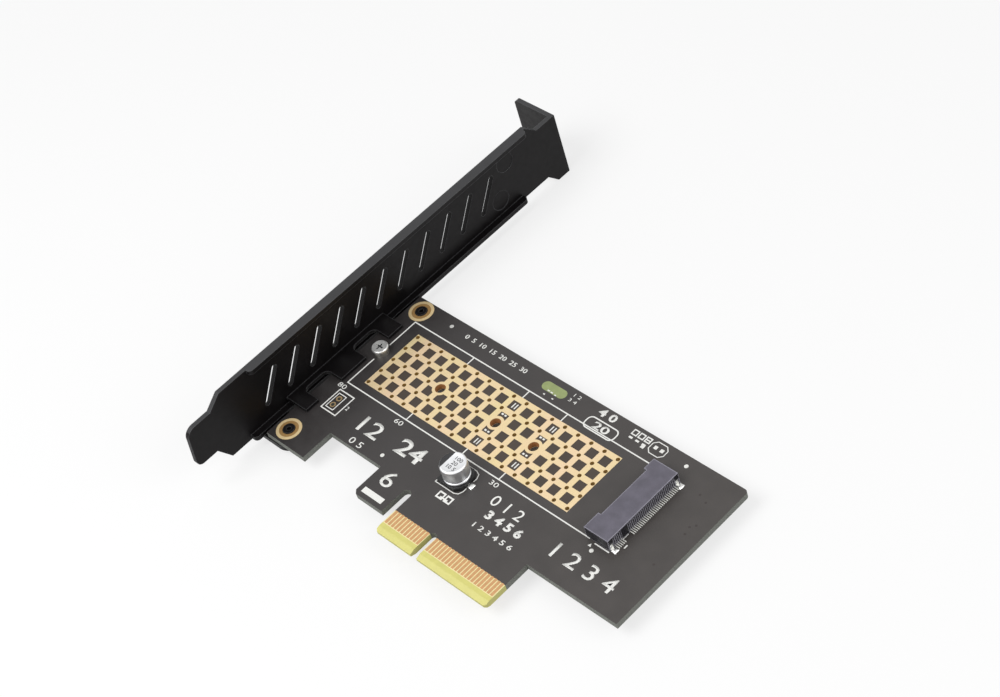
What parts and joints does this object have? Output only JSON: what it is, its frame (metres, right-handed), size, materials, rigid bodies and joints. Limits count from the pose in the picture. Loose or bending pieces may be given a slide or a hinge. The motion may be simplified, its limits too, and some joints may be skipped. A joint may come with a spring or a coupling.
{
  "type": "nvme adapter card",
  "caption": "Low flat expansion card with a moulded end bracket, a finger-edge contact tab and a socket with a screw seat for a flat memory module.",
  "frame": {"origin": "middle of the contact key on the card edge, in the middle plane of the board", "axes": "+X along the card edge away from the bracket, +Y from the card edge across the board, +Z out of the component side"},
  "size_m": [0.1177, 0.1199, 0.0216],
  "materials": {
    "solder_mask": "satin dark solder mask on glass laminate",
    "bracket_plastic": "satin black moulding",
    "contact_gold": "smooth gold plate",
    "plated_gold": "fine matte gold plate",
    "tinned_copper": "bright tin",
    "socket_plastic": "fine matte",
    "tinned_brass": "tinned",
    "screw_steel": "nickel plated",
    "can_aluminium": "satin drawn",
    "base_plastic": "satin",
    "lamp_resin": "clear resin",
    "resistor_ceramic": "matte"
  },
  "bodies": {
    "root": {"circuit_board": "solder_mask", "bracket": "bracket_plastic", "edge_contacts_top": "contact_gold", "edge_contacts_bottom": "contact_gold", "heat_spread_copper": "plated_gold", "screw_hole_rings": "plated_gold", "pin_hole_rings": "plated_gold", "header_hole_rings": "plated_gold", "camera_target_dots": "tinned_copper", "bare_solder_pads": "tinned_copper", "m2_socket_housing": "socket_plastic", "m2_socket_upper_contacts": "tinned_copper", "m2_socket_lower_contacts": "tinned_copper", "m2_socket_clips": "tinned_copper", "m2_screw_seat": "tinned_brass", "m2_screw": "screw_steel", "capacitor_can": "can_aluminium", "capacitor_base": "base_plastic", "capacitor_leads": "tinned_copper", "status_lamp": "lamp_resin", "lamp_resistor": "resistor_ceramic"}
  },
  "joints": []
}
